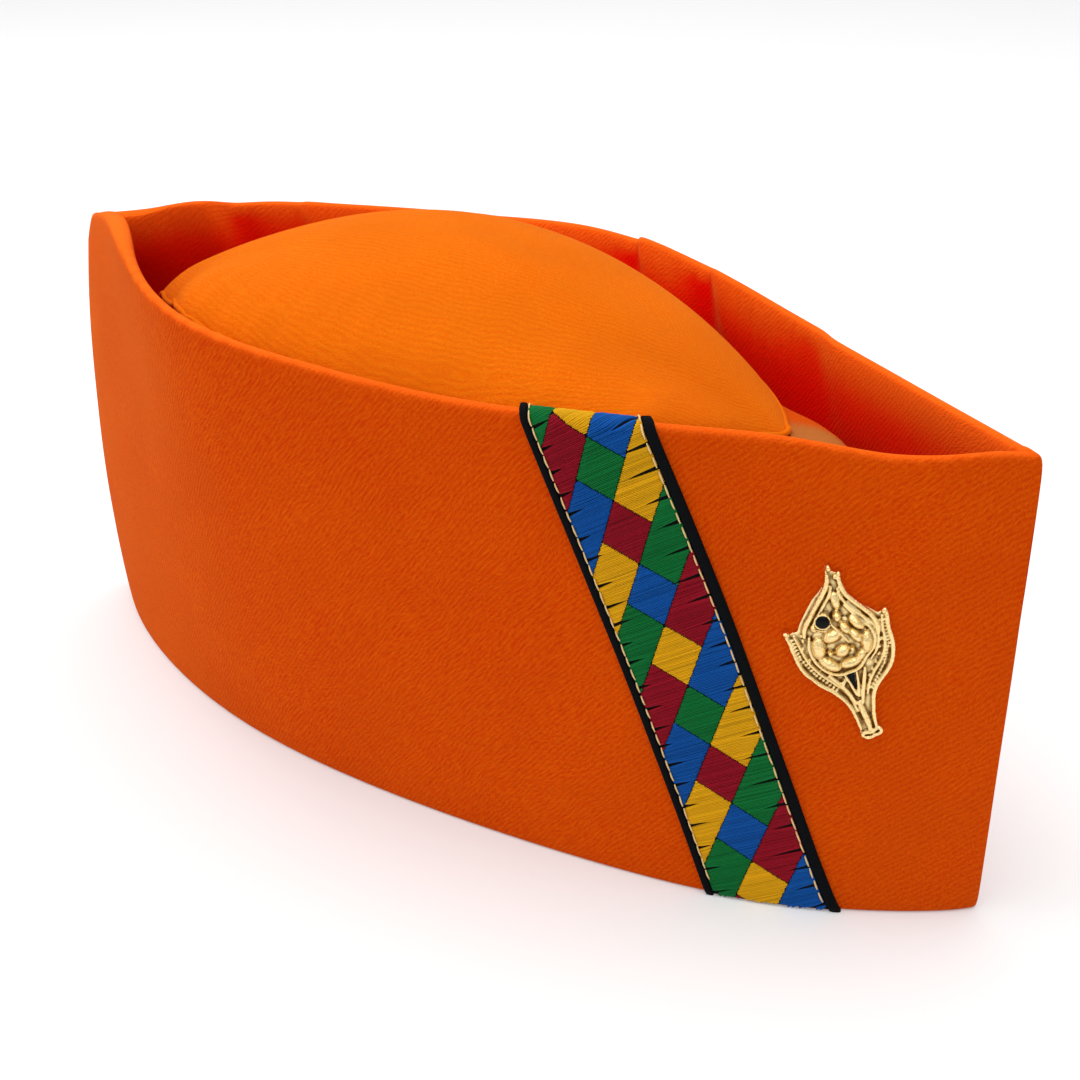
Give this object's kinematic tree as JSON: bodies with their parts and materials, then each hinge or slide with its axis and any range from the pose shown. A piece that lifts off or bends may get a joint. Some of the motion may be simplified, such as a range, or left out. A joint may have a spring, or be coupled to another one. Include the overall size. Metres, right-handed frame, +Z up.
{
  "type": "pahadi cap",
  "caption": "Boat-shaped cloth cap with a domed top, a folded-up side wall, a slanting diamond-pattern ribbon and a gilt flower-bud brooch.",
  "frame": {"origin": "middle of the cap's box at its foot, on the surface that it rests on", "axes": "+X towards the pointed front, +Z up, and the ribbon and the brooch on the -Y side, the wearer's right"},
  "size_m": [0.2676, 0.1064, 0.1289],
  "materials": {
    "cloth": "orange wool-blend twill with a short nap",
    "ribbon": "satin-stitched diamonds in crimson, blue, yellow and green",
    "binding": "black cloth binding with a cream running stitch beside it",
    "gilt": "cast gilt relief, bright on the ridges and dark in the recesses",
    "black_enamel": "glossy black stone and enamel",
    "pin_steel": "plain steel pin and clutch"
  },
  "bodies": {
    "root": {"turn_up": "cloth", "side_band": "cloth", "top_panel": "cloth", "ribbon": "ribbon", "ribbon_binding_rear": "binding", "ribbon_binding_front": "binding", "brooch": "gilt", "brooch_stone": "black_enamel", "brooch_inlay": "black_enamel", "brooch_pin": "pin_steel"}
  },
  "joints": []
}
